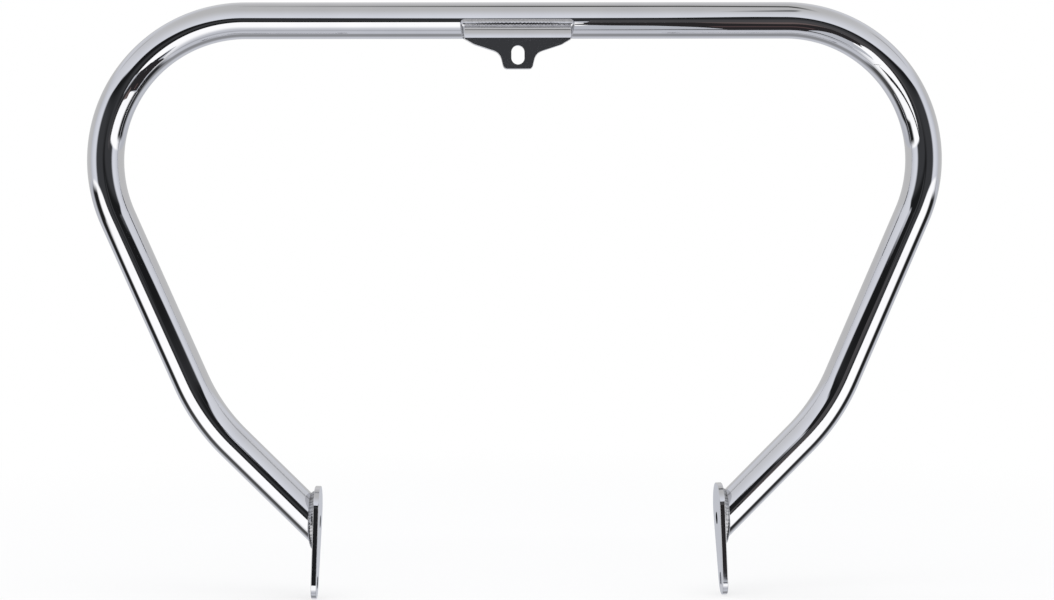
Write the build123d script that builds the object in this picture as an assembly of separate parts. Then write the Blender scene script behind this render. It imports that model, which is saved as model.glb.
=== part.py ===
"""A motorcycle engine guard: one bent steel tube with two welded end plates and a welded slotted tab.

Millimetres. X runs across the guard, Y through its depth and Z up. The origin is the middle of the tab's slot,
on the flat face of the tab that seats on the motorcycle. The tube's axis lies in one plane, parallel to XZ.
"""
import os
from math import asin, atan2, cos, radians, sin, sqrt, tan

from build123d import *

# The tube. Knees are the shallow bends between the legs and the short runs to the plates.
# Widths are across the guard, and drops are measured down from the top bar's axis.
tube_diameter = 31.75
tube_wall = 2.4
overall_width = 752.0
upper_bend_radius = 123.0
knee_width = 549.0
knee_drop = 346.0
knee_bend_radius = 176.0

# The end plates. Margins are measured from the outline of the tube on the plate.
plate_drop = 440.3
plate_gap = 351.5
plate_lean = 2.2
plate_thickness = 4.76
plate_front_margin = 9.1
plate_back_margin = 6.1
plate_top_margin = 10.4
plate_front_radius = 16.8
plate_back_radius = 26.0
plate_end_radius = 14.2
hole_spacing = 52.0

# The tab. Its flange meets the tube below the middle, and its tongue hangs in front of the tube.
tab_width = 92.2
tab_thickness = 4.76
tab_reach = 17.1
tab_flange_angle = 42.0
tab_bend_radius = 10.3
tab_end_height = 11.4
tab_ear_width = 8.1
tab_ear_slope = 30.0
tab_shoulder_slope = 18.1
tab_neck_width = 31.4
tab_foot_width = 24.6
tab_end_radius = 2.0
tab_ear_radius = 15.0
tab_neck_radius = 10.5
tab_foot_radius = 3.6
slot_below_tube = 17.4
slot_length = 16.4
slot_land = 3.9

# The bolts that the holes and the slot take, with the clearance on the diameter.
bolt_diameter = 10.0
hole_clearance = 1.0
slot_clearance = 1.3

# The weld beads, and the broken edges of the cut plates.
plate_bead_radius = 5.0
plate_bead_outset = 0.4
tab_bead_radius = 4.5
tab_bead_outset = 1.2
tab_bead_rise = 3.3
tab_bead_sink = 1.7
tab_bead_inset = 0.6
edge_round = 0.5

tube_radius = tube_diameter / 2
hole_radius = (bolt_diameter + hole_clearance) / 2
slot_width = bolt_diameter + slot_clearance

# The top bar's axis, behind the tab's face and above its slot.
axis_y = tube_radius + tab_reach
axis_z = tube_radius + slot_below_tube

# The middle of the upper bend, the leg that is tangent to it, and the corners of the tube's axis on the right.
bend_x = overall_width / 2 - tube_radius - upper_bend_radius
knee_x = knee_width / 2
below_bend = knee_drop - upper_bend_radius
beside_bend = knee_x - bend_x
leg_angle = asin(upper_bend_radius / sqrt(below_bend**2 + beside_bend**2)) - atan2(beside_bend, below_bend)
corner_x = knee_x + knee_drop * tan(leg_angle)
knee_z = axis_z - knee_drop

# Where the tube's axis meets the right-hand plate's outer face, and the angle of the run that leads there.
lean = radians(plate_lean)
end_x = plate_gap / 2 + plate_thickness / cos(lean)
end_z = axis_z - plate_drop
run_angle = atan2(knee_x - end_x, knee_z - end_z)

# The outer face of the right-hand plate: local X goes back, local Y up the plate and local Z outward.
plate_plane = Plane(origin=(end_x, axis_y, end_z), x_dir=(0, 1, 0), z_dir=(cos(lean), 0, sin(lean)))

# The oval that the tube's outline makes on the plate is longer than wide, because the run is inclined.
oval_stretch = 1 / sin(run_angle + lean)

# The tab's flange, between its two flat faces.
flange_z = axis_z - tube_radius * sin(radians(tab_flange_angle))
flange_top = flange_z + tab_thickness / 2
flange_bottom = flange_z - tab_thickness / 2


def mirrored(shape):
    """The left-hand copy of a right-hand shape."""
    return mirror(shape, about=Plane.YZ)


def swept_round(path, radius):
    """A round bar of the given radius along a path."""
    return sweep((path ^ 0) * Circle(radius), path=path)


def tube_path():
    """The tube's axis, from past the left plate to past the right plate."""
    past_end_x = end_x - tube_diameter * sin(run_angle)
    past_end_z = end_z - tube_diameter * cos(run_angle)
    right = [(corner_x, axis_y, axis_z), (knee_x, axis_y, knee_z), (past_end_x, axis_y, past_end_z)]
    left = [(-x, y, z) for x, y, z in reversed(right)]
    radii = [knee_bend_radius, upper_bend_radius, upper_bend_radius, knee_bend_radius]
    return FilletPolyline(*left, *right, radius=radii)


def plate_side():
    """The space on the inner side of the right-hand plate's outer face, as far as the tube and bead can reach."""
    reach = 4 * tube_diameter
    return plate_plane * Box(reach, reach, reach, align=(Align.CENTER, Align.CENTER, Align.MAX))


def right_plate():
    """A flat plate with a wide rounded head, a straight front edge and a round lower end, with two holes."""
    front = -tube_radius - plate_front_margin
    back = tube_radius + plate_back_margin
    top = tube_radius * oval_stretch + plate_top_margin
    lower_hole = (front + plate_end_radius, -hole_spacing)
    front_head = CenterArc((front + plate_front_radius, top - plate_front_radius), plate_front_radius, 90, 90)
    back_head = CenterArc((back - plate_back_radius, top - plate_back_radius), plate_back_radius, -90, 180)
    lower_end = CenterArc(lower_hole, plate_end_radius, 180, 180)
    outline = make_hull([front_head.edge(), back_head.edge(), lower_end.edge()])
    blank = extrude(outline, -plate_thickness)
    blank = fillet(blank.edges().filter_by(Plane.XY), edge_round)
    holes = Circle(hole_radius) + Pos(*lower_hole) * Circle(hole_radius)
    return plate_plane * (blank - extrude(holes, -plate_thickness))


def right_plate_weld(tube_bar):
    """A round bead along the oval where the tube meets the plate, less the tube and the plate's side."""
    half_width = tube_radius + plate_bead_outset
    oval = plate_plane * Ellipse(half_width, half_width * oval_stretch)
    bead = swept_round(oval.wire(), plate_bead_radius)
    return bead - tube_bar - plate_side()


def tab_section():
    """The bent plate seen from its end: the flange runs back into the tube, the tongue hangs down."""
    foot_z = -slot_length / 2 - slot_land
    corners = [
        (0, foot_z),
        (0, flange_top),
        (axis_y, flange_top),
        (axis_y, flange_bottom),
        (tab_thickness, flange_bottom),
        (tab_thickness, foot_z),
    ]
    radii = [0, tab_bend_radius, 0, 0, tab_bend_radius - tab_thickness, 0]
    return make_face(FilletPolyline(*corners, radius=radii, close=True))


def tab_outline():
    """The tab seen from the front: full width at the flange, steep ears, sloping shoulders and a narrow tongue."""
    end_half = tab_width / 2
    ear_half = end_half - tab_ear_width
    neck_half = tab_neck_width / 2
    foot_half = tab_foot_width / 2
    side_z = flange_top - tab_end_height
    ear_z = side_z - tab_ear_width * tan(radians(tab_ear_slope))
    neck_z = ear_z - (ear_half - neck_half) * tan(radians(tab_shoulder_slope))
    foot_z = -slot_length / 2 - slot_land
    ends = [(end_half, flange_top), (end_half, side_z), (ear_half, ear_z)]
    right = ends + [(neck_half, neck_z), (foot_half, foot_z)]
    radii = [0, tab_end_radius, tab_ear_radius, tab_neck_radius, tab_foot_radius]
    left = [(-x, z) for x, z in reversed(right)]
    return make_face(FilletPolyline(*right, *left, radius=radii + radii[::-1], close=True))


def tab_rims(blank):
    """The edges along the outline of the tab, without its fold lines, back edges and edges through the plate."""
    edges = blank.edges().filter_by(lambda edge: edge.center().Y < axis_y - tab_thickness)
    folds = edges.filter_by(Axis.X).filter_by(lambda edge: edge.length > tab_foot_width)
    through = edges.filter_by(Axis.Y).filter_by(lambda edge: edge.length < 2 * tab_thickness)
    return edges - folds - through


def tab(tube_bar):
    """A plate bent to an angle, with rounded edges and an upright slot, and with its flange coped to the tube."""
    angle_bar = extrude(Plane.YZ * tab_section(), tab_width / 2, both=True)
    blank = angle_bar & extrude(Plane.XZ * tab_outline(), -axis_y)
    blank = fillet(tab_rims(blank), edge_round)
    slot = extrude(Plane.XZ * Rot(0, 0, 90) * SlotOverall(slot_length, slot_width), -tab_thickness)
    return blank - slot - tube_bar


def tab_weld(tube_bar, tab_plate):
    """A round bead all round the root of the tab's flange, with round corners, less the tube and the tab."""
    ring_radius = tube_radius + tab_bead_outset
    upper_z = flange_top + tab_bead_rise
    under_z = flange_bottom - tab_bead_sink
    upper_y = axis_y - sqrt(ring_radius**2 - (axis_z - upper_z) ** 2)
    under_y = axis_y - sqrt(ring_radius**2 - (axis_z - under_z) ** 2)
    ring_half = tab_width / 2 - tab_bead_inset
    right = [Vector(ring_half, upper_y, upper_z), Vector(ring_half, under_y, under_z)]
    left = [Vector(-ring_half, under_y, under_z), Vector(-ring_half, upper_y, upper_z)]
    corners = right + left
    bead = Part()
    for corner, following in zip(corners, corners[1:] + corners[:1]):
        bead += swept_round(Line(corner, following), tab_bead_radius)
        bead += Pos(corner) * Sphere(tab_bead_radius)
    return bead - tube_bar - tab_plate


path = tube_path()
tube_bar = swept_round(path, tube_radius)
tube_bore = swept_round(path, tube_radius - tube_wall)
right_mount_plate = right_plate()
right_weld = right_plate_weld(tube_bar)
upper_mount_tab = tab(tube_bar)

nodes = {
    "guard_tube": tube_bar - tube_bore - plate_side() - mirrored(plate_side()),
    "left_mount_plate": mirrored(right_mount_plate),
    "right_mount_plate": right_mount_plate,
    "upper_mount_tab": upper_mount_tab,
    "left_plate_weld": mirrored(right_weld),
    "right_plate_weld": right_weld,
    "tab_weld": tab_weld(tube_bar, upper_mount_tab),
}

os.makedirs("parts", exist_ok=True)
for name, shape in nodes.items():
    export_step(shape, f"parts/{name}.step")
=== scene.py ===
import math
from collections import namedtuple

import bpy
from mathutils import Matrix, Vector


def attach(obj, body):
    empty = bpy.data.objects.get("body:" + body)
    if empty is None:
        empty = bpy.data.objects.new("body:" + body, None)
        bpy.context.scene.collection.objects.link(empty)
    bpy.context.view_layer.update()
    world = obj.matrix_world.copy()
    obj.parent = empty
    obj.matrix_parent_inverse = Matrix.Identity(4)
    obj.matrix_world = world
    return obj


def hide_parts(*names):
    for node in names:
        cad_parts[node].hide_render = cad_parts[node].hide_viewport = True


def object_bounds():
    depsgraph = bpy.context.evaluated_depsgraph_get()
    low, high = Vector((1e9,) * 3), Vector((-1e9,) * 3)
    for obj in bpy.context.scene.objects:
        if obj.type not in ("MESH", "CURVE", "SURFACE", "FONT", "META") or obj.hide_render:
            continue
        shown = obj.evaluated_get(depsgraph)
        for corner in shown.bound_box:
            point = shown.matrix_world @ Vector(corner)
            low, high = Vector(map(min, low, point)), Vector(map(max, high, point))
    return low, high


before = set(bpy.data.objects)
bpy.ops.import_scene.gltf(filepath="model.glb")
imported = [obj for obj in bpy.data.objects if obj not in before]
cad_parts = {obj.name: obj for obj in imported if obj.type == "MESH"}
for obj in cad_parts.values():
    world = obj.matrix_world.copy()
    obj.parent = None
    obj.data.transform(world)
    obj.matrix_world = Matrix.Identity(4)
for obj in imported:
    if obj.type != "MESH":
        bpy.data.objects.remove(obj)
cad_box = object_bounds()


# The guard's tube: one length of steel tube, 31.75 mm across with a 2.4 mm wall, bent in one plane.
# Its ends are mitred to the end plates. It is ground and buffed along its length and then plated
# with bright chrome, so it mirrors the studio.

tube_radius = 0.015875
tube_wall = 0.0024
upper_bend_radius = 0.123
knee_bend_radius = 0.176
bend_step = math.radians(1.5)
straight_step = 0.012
points_round = 96
sharp_angle = math.radians(50)
plate_lean = math.radians(2.2)
depth_axis = Vector((0.0, 1.0, 0.0))
plate_outward = Vector((math.cos(plate_lean), 0.0, math.sin(plate_lean)))

# The corners of the tube's axis on the right, from the top bar down to the outer face of the plate.
bend_corner = Vector((0.42452, 0.032975, 0.033275))
knee_corner = Vector((0.2745, 0.032975, -0.312725))
plate_end = Vector((0.180514, 0.032975, -0.407025))


def mirrored(vector):
    """The left-hand copy of a place or direction on the right."""
    return Vector((-vector.x, vector.y, vector.z))


def bent_axis(corners, radii):
    """Stations on the tube's axis, each a place and a heading: both ends, and fine steps round the bends."""
    stations = [(corners[0], (corners[1] - corners[0]).normalized())]
    for before, corner, after, radius in zip(corners, corners[1:], corners[2:], radii):
        arriving = (corner - before).normalized()
        leaving = (after - corner).normalized()
        turn = arriving.angle(leaving)
        start = corner - arriving * radius * math.tan(turn / 2)
        centre = corner + (leaving - arriving).normalized() * radius / math.cos(turn / 2)
        steps = round(turn / bend_step)
        for step in range(steps + 1):
            spin = Matrix.Rotation(turn * step / steps, 3, arriving.cross(leaving))
            stations.append((centre + spin @ (start - centre), spin @ arriving))
    stations.append((corners[-1], (corners[-1] - corners[-2]).normalized()))
    return stations


def tube_rings(stations, radius):
    """Rings of points round the axis, mitred to the plates at both ends and evenly spaced where straight."""
    rings = []
    for place, heading in stations:
        sideways = heading.cross(depth_axis)
        angles = [math.tau * point / points_round for point in range(points_round)]
        rings.append([place + radius * (math.cos(a) * sideways + math.sin(a) * depth_axis) for a in angles])
    for end, outward in ((0, mirrored(plate_outward)), (-1, plate_outward)):
        place, heading = stations[end]
        slope = heading.dot(outward)
        rings[end] = [point + heading * ((place - point).dot(outward) / slope) for point in rings[end]]
    spaced = rings[:1]
    for ring, following in zip(rings, rings[1:]):
        parts = max(1, round((following[0] - ring[0]).length / straight_step))
        for part in range(1, parts + 1):
            spaced.append([first.lerp(last, part / parts) for first, last in zip(ring, following)])
    return spaced


def skin(name, rings):
    """A closed skin over rings of points, from each ring to the next and from the last back to the first."""
    size = len(rings[0])
    faces = []
    for row in range(len(rings)):
        here = row * size
        there = (row + 1) % len(rings) * size
        for point in range(size):
            following = (point + 1) % size
            faces.append((here + point, there + point, there + following, here + following))
    mesh = bpy.data.meshes.new(name)
    mesh.from_pydata([point for ring in rings for point in ring], [], faces)
    mesh.shade_smooth()
    mesh.set_sharp_from_angle(angle=sharp_angle)
    return mesh


class Shade:
    """A socket of a node tree that takes part in plain arithmetic, each step of which adds a node."""

    def __init__(self, tree, socket=None):
        self.tree = tree
        self.socket = socket

    def node(self, kind, settings, sockets, output=0):
        """Adds a node, with its settings first and then its sockets, and returns one of its outputs."""
        made = self.tree.nodes.new("ShaderNode" + kind)
        for name, value in settings.items():
            setattr(made, name, value)
        for key, value in sockets.items():
            if isinstance(value, Shade):
                self.tree.links.new(value.socket, made.inputs[key])
            else:
                made.inputs[key].default_value = value
        return Shade(self.tree, made.outputs[output] if made.outputs else None)

    def maths(self, operation, first, second=0.0):
        """One step of arithmetic on one or two values."""
        return self.node("Math", {"operation": operation}, {0: first, 1: second})

    def __add__(self, other):
        return self.maths("ADD", self, other)

    def __radd__(self, other):
        return self.maths("ADD", other, self)

    def __sub__(self, other):
        return self.maths("SUBTRACT", self, other)

    def __rsub__(self, other):
        return self.maths("SUBTRACT", other, self)

    def __mul__(self, other):
        return self.maths("MULTIPLY", self, other)

    def __rmul__(self, other):
        return self.maths("MULTIPLY", other, self)

    def __neg__(self):
        return self.maths("MULTIPLY", self, -1.0)

    def rise(self, low, high):
        """0 below low and 1 above high, with a smooth step between."""
        sockets = {"Value": self, "From Min": low, "From Max": high}
        return self.node("MapRange", {"interpolation_type": "SMOOTHSTEP"}, sockets)

    def between(self, low, high, soft):
        """1 between low and high and 0 outside, with soft edges."""
        return self.rise(low - soft, low + soft) - self.rise(high - soft, high + soft)

    def mixed(self, first, second):
        """A colour between two colours, by this value as the share of the second."""
        return self.node("Mix", {"data_type": "RGBA"}, {"Factor": self, 6: first, 7: second}, 2)


def chrome(name, bright, dull, haze_size, polish, rough, grain_size, grain_height, painted_shade_colour=None):
    """Chrome plate: a bright mirror with a faint uneven haze, over the slight waves of the ground steel."""
    material = bpy.data.materials.new(name)
    material.use_nodes = True
    material.node_tree.nodes.clear()
    shade = Shade(material.node_tree)
    place = shade.node("TexCoord", {}, {}, "Object")
    cloud = shade.node("TexNoise", {}, {"Vector": place, "Scale": 1 / haze_size, "Detail": 3.0}, "Fac")
    grain = shade.node("TexNoise", {}, {"Vector": place, "Scale": 1 / grain_size, "Detail": 2.0}, "Fac")
    clear_below = 0.35
    hazy_above = 0.75
    haze = cloud.rise(clear_below, hazy_above)
    colour = haze.mixed((*bright, 1.0), (*dull, 1.0))
    # Painted shade: the base colour goes towards this colour by the mesh's attribute of painted shade.
    if painted_shade_colour:
        painted_shade = shade.node("Attribute", {"attribute_name": "painted_shade"}, {}, "Fac")
        colour = painted_shade.mixed(colour, (*painted_shade_colour, 1.0))
    surface = {
        "Base Color": colour,
        "Metallic": 1.0,
        "Roughness": polish + haze * (rough - polish),
        "Normal": shade.node("Bump", {}, {"Height": grain, "Strength": 1.0, "Distance": grain_height}),
    }
    shade.node("OutputMaterial", {}, {"Surface": shade.node("BsdfPrincipled", {}, surface)})
    return material


def place_piece(name, mesh, finish, node):
    """Puts a piece on the guard in place of the plain solid that it stands for."""
    mesh.materials.append(finish)
    made = bpy.data.objects.new(name, mesh)
    bpy.context.scene.collection.objects.link(made)
    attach(made, "root")
    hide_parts(node)


tube_finish = chrome(
    "tube_chrome",
    bright=(0.73, 0.73, 0.745),
    dull=(0.70, 0.70, 0.72),
    haze_size=0.045,
    polish=0.015,
    rough=0.035,
    grain_size=0.012,
    grain_height=0.000004,
)
right_corners = [bend_corner, knee_corner, plate_end]
left_corners = [mirrored(corner) for corner in reversed(right_corners)]
bend_radii = [knee_bend_radius, upper_bend_radius, upper_bend_radius, knee_bend_radius]
tube_stations = bent_axis(left_corners + right_corners, bend_radii)
outside = tube_rings(tube_stations, tube_radius)
inside = tube_rings(tube_stations, tube_radius - tube_wall)
tube_mesh = skin("bent_tube", outside + inside[::-1])
place_piece("bent_tube", tube_mesh, tube_finish, "guard_tube")


# The end plates: flat steel plate, 4.76 mm thick, cut to outline with a straight front edge and two holes.
# Their edges are broken, and they are plated together with the tube after welding.


def plate_chrome(name):
    """Chrome over cut plate, which is buffed less finely than the tube."""
    return chrome(
        name,
        bright=(0.71, 0.71, 0.73),
        dull=(0.68, 0.68, 0.70),
        haze_size=0.02,
        polish=0.03,
        rough=0.08,
        grain_size=0.006,
        grain_height=0.000006,
    )


def finish_node(node, finish):
    """Gives a solid that stays in view its finish."""
    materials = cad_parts[node].data.materials
    materials.clear()
    materials.append(finish)


end_plate_finish = plate_chrome("plate_chrome")
finish_node("left_mount_plate", end_plate_finish)
finish_node("right_mount_plate", end_plate_finish)


# The upper tab: steel plate of the same thickness, bent to an angle, with an upright slot in its tongue.
# Its flange is coped to the tube and welded to it all round, below the middle of the top bar.

finish_node("upper_mount_tab", plate_chrome("tab_chrome"))


# The weld beads: fillet welds laid in small overlapping ripples, one round the end of each run
# and one round the root of the tab's flange. They are left as laid and plated with the rest,
# so their chrome is duller than the tube's.

# The beads' base colour holds painted shade: darker in the ripples' valleys and all over the plate beads, and
# near black in the tab bead's ragged line, a painted reflection of the dark wall.
weld_finish = chrome(
    "weld_chrome",
    bright=(0.68, 0.68, 0.70),
    dull=(0.60, 0.60, 0.62),
    haze_size=0.004,
    polish=0.12,
    rough=0.28,
    grain_size=0.003,
    grain_height=0.00001,
    painted_shade_colour=(0.05, 0.05, 0.055),
)
Station = namedtuple("Station", "centre outward upward radius ragged")
bead_steps = 36
bead_toe = math.radians(10)
search_degrees = 2
ripple_lag = 0.5
# A ripple this deep gets full painted shade in its valleys.
darkest_ripple = 0.0003

# The ripples are spaced a little unevenly, in a slow and a quick wave along the bead.
slow_drift = 0.22
slow_waves = 5
quick_drift = 0.16
quick_waves = 13
quick_start = 1.0

# A shallow ragged line runs along the upper bead of the tab, painted near black as a painted reflection of
# the dark wall.
line_depth = 0.00005
line_place = 0.655
line_wave = 0.03
line_half = 0.07


def ray(station, turn):
    """The direction across a bead at an angle from its outward side towards its upward side."""
    return math.cos(turn) * station.outward + math.sin(turn) * station.upward


def bead_span(station, clearance):
    """The angles between which a bead shows, with a toe at both ends that runs into the metal."""
    turns = [math.radians(degrees) for degrees in range(-180, 180, search_degrees)]
    bare = [turn for turn in turns if clearance(station.centre + station.radius * ray(station, turn)) > 0]
    return bare[0] - bead_toe, bare[-1] + bead_toe


def bead_rings(stations, pitch, ripple, darkening, clearance):
    """Rings across a bead along a closed line, with crowned ripples.

    Each station has the middle of the bead, its outward and upward directions, its radius, and how far
    the ragged line is worked in there. With the rings comes how much painted shade each of their points gets,
    from 0 on a crown, plus the darkening all over, to 1 in the ragged line, which is a painted reflection
    of the dark wall.
    """
    crests = [station.centre + station.radius / 2 * station.outward for station in stations]
    lengths = [0.0]
    for crest, following in zip(crests, crests[1:] + crests[:1]):
        lengths.append(lengths[-1] + (following - crest).length)
    ripples = round(lengths[-1] / pitch)
    rings = []
    painted_shades = []
    for station, length in zip(stations, lengths):
        along = length / lengths[-1]
        slow = slow_drift * math.sin(math.tau * slow_waves * along)
        quick = quick_drift * math.sin(math.tau * quick_waves * along + quick_start)
        beat = ripples * along + slow + quick
        ragged_line = line_place + line_wave * math.sin(math.tau * beat)
        low, high = bead_span(station, clearance)
        ring = []
        painted_shade = []
        for step in range(bead_steps + 1):
            share = step / bead_steps
            lag = ripple_lag * (2 * share - 1) ** 2
            valley = 1 - abs(math.sin(math.pi * (beat + lag)))
            nearness = 2 - 2 * abs(share - ragged_line) / line_half
            groove_and_painted_reflection = station.ragged * min(1.0, max(0.0, nearness))
            depth = ripple * valley + line_depth * groove_and_painted_reflection
            turn = low + (high - low) * share
            ring.append(station.centre + (station.radius - depth) * ray(station, turn))
            # Painted shade: some in the ripples' valleys, the darkening all over, and full in the ragged
            # line's painted reflection.
            painted_shade.append(max(groove_and_painted_reflection, darkening + valley * ripple / darkest_ripple))
        ring.append(station.centre - station.radius / 2 * ray(station, (low + high) / 2))
        painted_shade.append(1.0)
        rings.append(ring)
        painted_shades.append(painted_shade)
    return rings, painted_shades


def bead_mesh(name, rings, painted_shades):
    """A bead's skin, which keeps how much painted shade each of its points gets."""
    mesh = skin(name, rings)
    values = [value for painted_shade in painted_shades for value in painted_shade]
    mesh.attributes.new("painted_shade", "FLOAT", "POINT").data.foreach_set("value", values)
    return mesh


# The beads at the plates follow the oval where the tube meets the plate, and are slimmer at its lower end.
plate_bead_radius = 0.005
plate_bead_outset = 0.0004
plate_bead_stations = 320
plate_bead_pitch = 0.0032
plate_bead_ripple = 0.00012
# The plate beads get this share of painted shade all over.
plate_bead_darkening = 0.35
plate_bead_slimming = 0.5
run_heading = (knee_corner - plate_end).normalized()
oval_stretch = 1 / run_heading.dot(plate_outward)
oval_half = tube_radius + plate_bead_outset
plate_upward = plate_outward.cross(depth_axis)


def plate_clearance(point):
    """How far a point near the right-hand plate lies outside both the tube and the plate."""
    offset = point - plate_end
    from_tube = (offset - offset.dot(run_heading) * run_heading).length - tube_radius
    return min(from_tube, offset.dot(plate_outward))


oval_stations = []
for index in range(plate_bead_stations):
    angle = math.tau * index / plate_bead_stations
    deep = math.cos(angle) * depth_axis
    tall = math.sin(angle) * plate_upward
    centre = plate_end + oval_half * (deep + oval_stretch * tall)
    outward = (deep + tall / oval_stretch).normalized()
    radius = plate_bead_radius * (1 - plate_bead_slimming * min(0.0, math.sin(angle)) ** 2)
    oval_stations.append(Station(centre, outward, plate_outward, radius, 0.0))
right_rings, right_painted_shades = bead_rings(
    oval_stations, plate_bead_pitch, plate_bead_ripple, plate_bead_darkening, plate_clearance
)
left_rings = [[mirrored(point) for point in reversed(ring)] for ring in right_rings]
left_painted_shades = [painted_shade[::-1] for painted_shade in right_painted_shades]
right_bead = bead_mesh("right_plate_bead", right_rings, right_painted_shades)
left_bead = bead_mesh("left_plate_bead", left_rings, left_painted_shades)
place_piece("right_plate_bead", right_bead, weld_finish, "right_plate_weld")
place_piece("left_plate_bead", left_bead, weld_finish, "left_plate_weld")

# The tab's bead goes up one end of the flange, along its top, down the other end and back underneath.
tab_bead_radius = 0.0045
tab_under_radius = 0.0028
tab_bead_half = 0.0455
tab_bead_step = 0.00045
tab_bead_pitch = 0.003
tab_bead_ripple = 0.00003
tab_bead_darkening = 0.0
corner_steps = 9
ragged_half = 0.0395
ragged_fade = 4
flange_half = 0.0461
flange_bottom = 0.020273
flange_top = 0.025033
bead_upper = Vector((tab_bead_half, 0.016631, 0.028333))
bead_under = Vector((tab_bead_half, 0.024292, 0.018573))
bead_side = Vector((1.0, 0.0, 0.0))
bead_up = (bead_upper - bead_under).normalized()
bead_front = bead_side.cross(bead_up)
tab_bead_sides = [
    (bead_under, bead_upper, bead_side),
    (bead_upper, mirrored(bead_upper), bead_up),
    (mirrored(bead_upper), mirrored(bead_under), -bead_side),
    (mirrored(bead_under), bead_under, -bead_up),
]


def tab_clearance(point):
    """How far a point near the tab's root lies outside both the tube and the flange."""
    from_tube = math.hypot(point.y - bend_corner.y, point.z - bend_corner.z) - tube_radius
    from_flange = max(abs(point.x) - flange_half, point.z - flange_top, flange_bottom - point.z)
    return min(from_tube, from_flange)


def tab_radius(place):
    """The tab bead's radius at a place on its line, smaller under the flange."""
    lift = (place.z - bead_under.z) / (bead_upper.z - bead_under.z)
    return tab_under_radius + (tab_bead_radius - tab_under_radius) * lift


tab_stations = []
following_sides = tab_bead_sides[1:] + tab_bead_sides[:1]
for (start, end, outward), (_, _, next_outward) in zip(tab_bead_sides, following_sides):
    steps = round((end - start).length / tab_bead_step)
    for step in range(steps):
        centre = start.lerp(end, step / steps)
        ragged = max(0.0, 1 - (centre.x / ragged_half) ** ragged_fade) if outward == bead_up else 0.0
        tab_stations.append(Station(centre, outward, bead_front, tab_radius(centre), ragged))
    for step in range(corner_steps):
        turn = math.pi / 2 * step / corner_steps
        round_corner = math.cos(turn) * outward + math.sin(turn) * next_outward
        tab_stations.append(Station(end, round_corner, bead_front, tab_radius(end), 0.0))
tab_rings, tab_painted_shades = bead_rings(
    tab_stations, tab_bead_pitch, tab_bead_ripple, tab_bead_darkening, tab_clearance
)
tab_bead = bead_mesh("tab_bead", tab_rings, tab_painted_shades)
place_piece("tab_bead", tab_bead, weld_finish, "tab_weld")


# The floor: pale and plain, level with the lower ends of the plates, with the guard's soft shadow.
# Further out it goes over into the white backdrop without an edge.

floor_half = 6.0
floor_level = cad_box[0][2]
floor_paleness = 0.7
fade_start = 0.5
fade_end = 1.3
floor_signs = [(-1, -1), (1, -1), (1, 1), (-1, 1)]
floor_corners = [(floor_half * x, floor_half * y, floor_level) for x, y in floor_signs]
floor_mesh = bpy.data.meshes.new("floor")
floor_mesh.from_pydata(floor_corners, [], [(0, 1, 2, 3)])
floor = bpy.data.objects.new("floor", floor_mesh)
bpy.context.scene.collection.objects.link(floor)
floor.visible_glossy = False
floor_paint = bpy.data.materials.new("floor_paint")
floor_paint.use_nodes = True
floor_paint.node_tree.nodes.clear()
paint = Shade(floor_paint.node_tree)
spot = paint.node("TexCoord", {}, {}, "Object")
distance = paint.node("VectorMath", {"operation": "LENGTH"}, {0: spot}, "Value")
matt = paint.node("BsdfDiffuse", {}, {"Color": (0.9, 0.9, 0.9, 1.0)})
white = paint.node("Emission", {}, {"Color": (1.0, 1.0, 1.0, 1.0), "Strength": 1.0})
fade = floor_paleness + distance.rise(fade_start, fade_end) * (1 - floor_paleness)
paint.node("OutputMaterial", {}, {"Surface": paint.node("MixShader", {}, {0: fade, 1: matt, 2: white})})
floor_mesh.materials.append(floor_paint)


# The studio round the guard, which the chrome mirrors: a light dome, a dark wall behind the camera,
# a white floor in front and dark things at both sides. The camera itself sees plain white.
# Heights and turns are in degrees, and a turn is 0 towards the camera and 180 behind the guard.

world = bpy.data.worlds.new("studio")
bpy.context.scene.world = world
world.use_nodes = True
world.node_tree.nodes.clear()
studio = Shade(world.node_tree)
direction = studio.node("TexCoord", {}, {}, "Generated")
side = studio.node("SeparateXYZ", {}, {0: direction}, "X")
back = studio.node("SeparateXYZ", {}, {0: direction}, "Y")
up = studio.node("SeparateXYZ", {}, {0: direction}, "Z")
height = up.maths("ARCSINE", up) * math.degrees(1)
around = side.maths("ABSOLUTE", side.maths("ARCTAN2", side, -back)) * math.degrees(1)
cool_tint = (0.96, 0.985, 1.06)


def grey(level):
    """A neutral grey of that brightness."""
    return (level, level, level, 1.0)


def cool(level):
    """A cool grey of that brightness."""
    return (*(level * part for part in cool_tint), 1.0)


# Overhead: the dome is brightest low down in front, and grey low down at the sides and at the back.
front = height.rise(12, 70).mixed(cool(0.91), grey(0.62))
low_side = around.rise(62, 100) * (1 - height.rise(20, 40))
dome = low_side.mixed(front, cool(0.66))
high_back = around.rise(150, 172).mixed(cool(0.78), grey(0.75))
back_wall = height.rise(24, 36).mixed(grey(0.66), high_back)
low_back = around.rise(88, 98) * (1 - height.rise(24, 36))
far_back = around.rise(105, 165) * (1 - height.rise(30, 70))
dome = low_back.maths("MAXIMUM", low_back, far_back).mixed(dome, back_wall)

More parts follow.
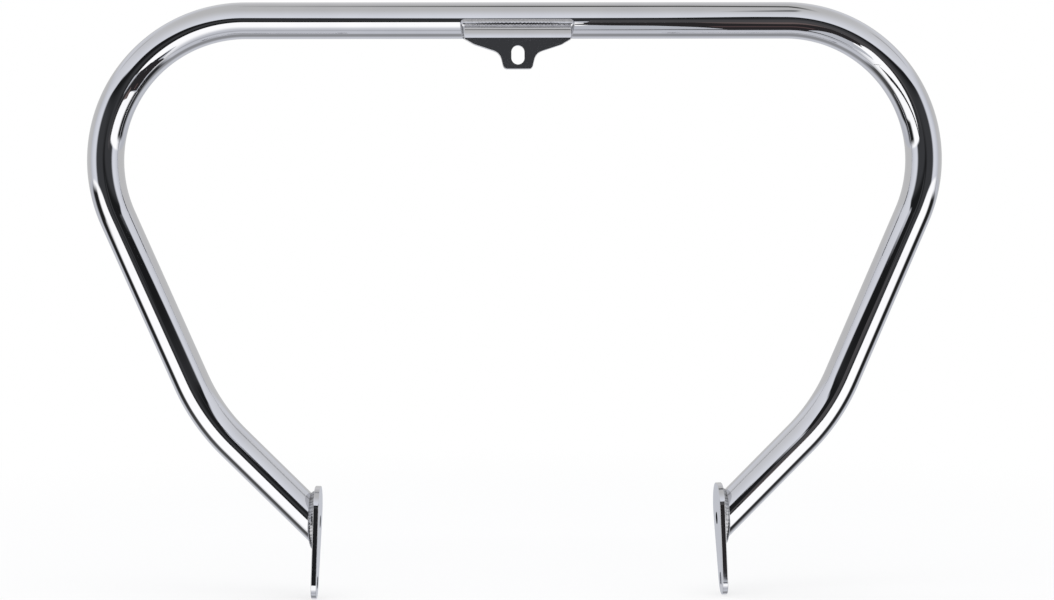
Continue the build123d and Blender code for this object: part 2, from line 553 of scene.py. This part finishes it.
# A dark seam runs across the ceiling, with a fainter one further out on each side, and a lamp hangs in front.
# Places on the ceiling are in shares of its height.
flattest = 0.05
ceiling_rise = up.maths("MAXIMUM", up, flattest)
ceiling_side = side.maths("DIVIDE", side, ceiling_rise)
ceiling_back = back.maths("DIVIDE", back, ceiling_rise)
seam_line = ceiling_back + ceiling_side.maths("MAXIMUM", ceiling_side - 0.12, 0.0) * 1.6
seam_length = ceiling_side.rise(-0.18, 0.06) - ceiling_side.rise(0.2, 0.42)
seam = seam_line.between(-0.02, 0.19, 0.03) * seam_length * 0.95
right_length = ceiling_side.rise(0.8, 0.95) - ceiling_side.rise(1.3, 1.6)
right_seam = ceiling_back.between(-0.17, 0.02, 0.05) * right_length * 0.4
ceiling_left = -ceiling_side
left_length = ceiling_left.rise(0.8, 0.95) - ceiling_left.rise(1.3, 1.6)
left_seam = ceiling_back.between(-0.02, 0.2, 0.05) * left_length * 0.25
hanging_lamp = ceiling_back.between(-0.86, -0.53, 0.06) * ceiling_side.between(0.19, 0.28, 0.025) * 0.75
dome = (seam + right_seam + left_seam + hanging_lamp).mixed(dome, grey(0.05))

# Below: the floor is white in front, grey underneath and at the sides, and cool far behind the guard.
# It has a faint painted shadow just in front of the guard and a darker painted shadow just behind it.
lowest = 0.01
floor_back = back.maths("DIVIDE", back, up.maths("MAXIMUM", -up, lowest))
white_part = height.rise(-63, -39) * (1 - around.rise(70, 95))
ground = white_part.mixed(cool(0.72), grey(1.36))
front_painted_shadow = floor_back.between(-0.38, -0.26, 0.05) * 0.35
ground = front_painted_shadow.mixed(ground, grey(0.13))
back_painted_shadow = (floor_back.rise(0.02, 0.28) - floor_back.rise(0.48, 1.15)) * 0.7
ground = back_painted_shadow.mixed(ground, grey(0.18))
ground = floor_back.rise(1.5, 4.0).mixed(ground, cool(0.63))
floor_edge = around.rise(3, 34) * 13 - 16.5
floor_share = 1 - (height - floor_edge).rise(-0.8, 0.8)
view = floor_share.mixed(dome, ground)

# In front: the wall behind the camera is dark, and rises to the sides with a hump on each.
# Its lower part and a spot in the middle catch a little light.
wall_top = around.maths("MINIMUM", around, 36.0) * 0.33 + 8.0
left_hump = (-side).between(0.17, 0.36, 0.06) * 3.6
right_hump = side.between(0.13, 0.18, 0.03) * 4.5
wall_height = 1 - (height - (wall_top + left_hump + right_hump)).rise(-1.2, 1.2)
wall = wall_height * (1 - around.rise(44, 56)) * (1 - floor_share)
low_glow = height.rise(-12, -2) - (height - around * 0.4).rise(-3, 3)
middle_glow = side.between(-0.05, 0.06, 0.015) * height.between(3.5, 9.0, 1.0)
wall_glow = low_glow.maths("MAXIMUM", low_glow, middle_glow)
view = wall.mixed(view, wall_glow.mixed(cool(0.014), cool(0.055)))

# At both sides: dark things on the floor, darkest at the top, and a little nearer and higher on the left.
on_right = side.rise(-0.1, 0.1)
on_left = 1 - on_right
things_turn = around + height.rise(-20, -15) * on_left * 14 + on_right * 6
things_width = things_turn.rise(72, 85) * (1 - things_turn.rise(106, 128))
things_height = height.rise(-60, -50) * (1 - (height - on_left * 3).rise(-11, -7))
things_foot = on_right.mixed(grey(0.09), cool(0.03))
things = height.rise(-42, -20).mixed(things_foot, grey(0.018))
view = (things_width * things_height).mixed(view, things)

seen = studio.node("LightPath", {}, {}, "Is Camera Ray")
view = seen.mixed(view, (1.0, 1.0, 1.0, 1.0))
sky = studio.node("Background", {}, {"Color": view, "Strength": 1.0})
studio.node("OutputWorld", {}, {"Surface": sky})


# The ceiling light: one wide soft lamp above the guard, which makes the shadow and isn't mirrored itself.

lamp_data = bpy.data.lights.new("ceiling_light", "AREA")
lamp_data.shape = "RECTANGLE"
lamp_data.size = 2.4
lamp_data.size_y = 1.8
lamp_data.energy = 30.0
lamp = bpy.data.objects.new("ceiling_light", lamp_data)
lamp.location = (0.0, -0.2, 1.9)
lamp.visible_glossy = False
bpy.context.scene.collection.objects.link(lamp)


# Cards in the studio, seen only as reflections: a grey mat on the floor to the right of the camera,
# a dark stand on it with a cable, a brown rail, a brown side, a post and a foot, a dark rod that leans
# in front of the guard, and a white board beside the right-hand leg.

mat_level = -0.552
stand_level = -0.551
rail_level = -0.550
stand_paint = (0.030, 0.027, 0.029)


def card(name, corners, paint):
    """A flat card of one plain colour that shows only in the chrome."""
    mesh = bpy.data.meshes.new(name)
    mesh.from_pydata(corners, [], [range(len(corners))])
    made = bpy.data.objects.new(name, mesh)
    bpy.context.scene.collection.objects.link(made)
    made.visible_camera = False
    made.visible_diffuse = False
    made.visible_shadow = False
    finish = bpy.data.materials.new(name)
    finish.use_nodes = True
    finish.node_tree.nodes.clear()
    shade = Shade(finish.node_tree)
    colour = shade.node("Emission", {}, {"Color": (*paint, 1.0), "Strength": 1.0})
    shade.node("OutputMaterial", {}, {"Surface": colour})
    mesh.materials.append(finish)


def laid(level, outline):
    """An outline that lies flat at that height."""
    return [(x, y, level) for x, y in outline]


mat = [(0.16, -2.8), (0.15, -0.95), (0.11, -0.68), (-0.02, -0.62), (-0.05, -0.52), (0.06, -0.30)]
mat += [(0.22, -0.12), (0.44, -0.12), (0.44, -2.8)]
card("grey_mat", laid(mat_level, mat), (0.62, 0.64, 0.69))

stand = [(0.165, -1.6), (0.14, -1.18), (0.09, -0.93), (0.15, -0.72), (0.21, -0.66), (0.25, -0.48)]
stand += [(0.27, -0.30), (0.27, -0.18), (0.41, -0.18), (0.45, -0.9), (0.45, -1.6)]
card("dark_stand", laid(stand_level, stand), stand_paint)

cable = [(0.0, -0.245), (0.28, -0.27), (0.28, -0.20)]
card("dark_cable", laid(rail_level, cable), stand_paint)

rail = [(0.275, -0.59), (0.275, -0.47), (0.40, -0.45), (0.40, -0.57)]
card("brown_rail", laid(rail_level, rail), (0.105, 0.070, 0.070))

brown_side = [(0.36, -1.6), (0.37, -1.2), (0.45, -0.9), (0.56, -0.9), (0.60, -1.6)]
card("brown_side", laid(rail_level, brown_side), (0.17, 0.13, 0.125))

post = [(0.17, -1.6, -0.55), (0.60, -1.6, -0.55), (0.60, -1.6, -0.10), (0.17, -1.6, -0.10)]
card("stand_post", post, (0.085, 0.082, 0.086))

foot = [(0.065, -0.13, -0.34), (0.065, -0.345, -0.34), (0.013, -0.533, -0.413), (-0.011, -0.245, -0.445)]
foot += [(-0.011, -0.147, -0.445)]
card("stand_foot", foot, stand_paint)

rod = [(-0.05, -0.298, -0.361), (-0.05, -0.398, -0.485), (-0.05, -0.769, -0.163), (-0.05, -0.712, -0.094)]
card("leaning_rod", rod, (0.030, 0.030, 0.033))

board = [(0.198, -0.09, -0.56), (0.198, -0.063, -0.419), (0.2855, -0.047, -0.332), (0.48, -0.047, -0.332)]
board += [(0.48, -0.09, -0.56)]
card("white_board", board, (1.36, 1.36, 1.36))


# The camera stands level with the middle of the guard, about 1.6 m in front of it.

camera_place = (-0.0419, -1.567, -0.1566)
camera_turn = math.radians(-1.781)
camera_tilt = math.radians(90 - 1.992)
camera_roll = math.radians(-0.259)
bpy.context.scene.view_settings.view_transform = "Standard"
camera_data = bpy.data.cameras.new("camera")
camera_data.sensor_width = 36.0
camera_data.lens = 61.96
camera = bpy.data.objects.new("camera", camera_data)
bpy.context.scene.collection.objects.link(camera)
turned = Matrix.Rotation(camera_turn, 4, "Z")
tilted = Matrix.Rotation(camera_tilt, 4, "X")
rolled = Matrix.Rotation(camera_roll, 4, "Z")
camera.matrix_world = Matrix.Translation(camera_place) @ turned @ tilted @ rolled
bpy.context.scene.camera = camera
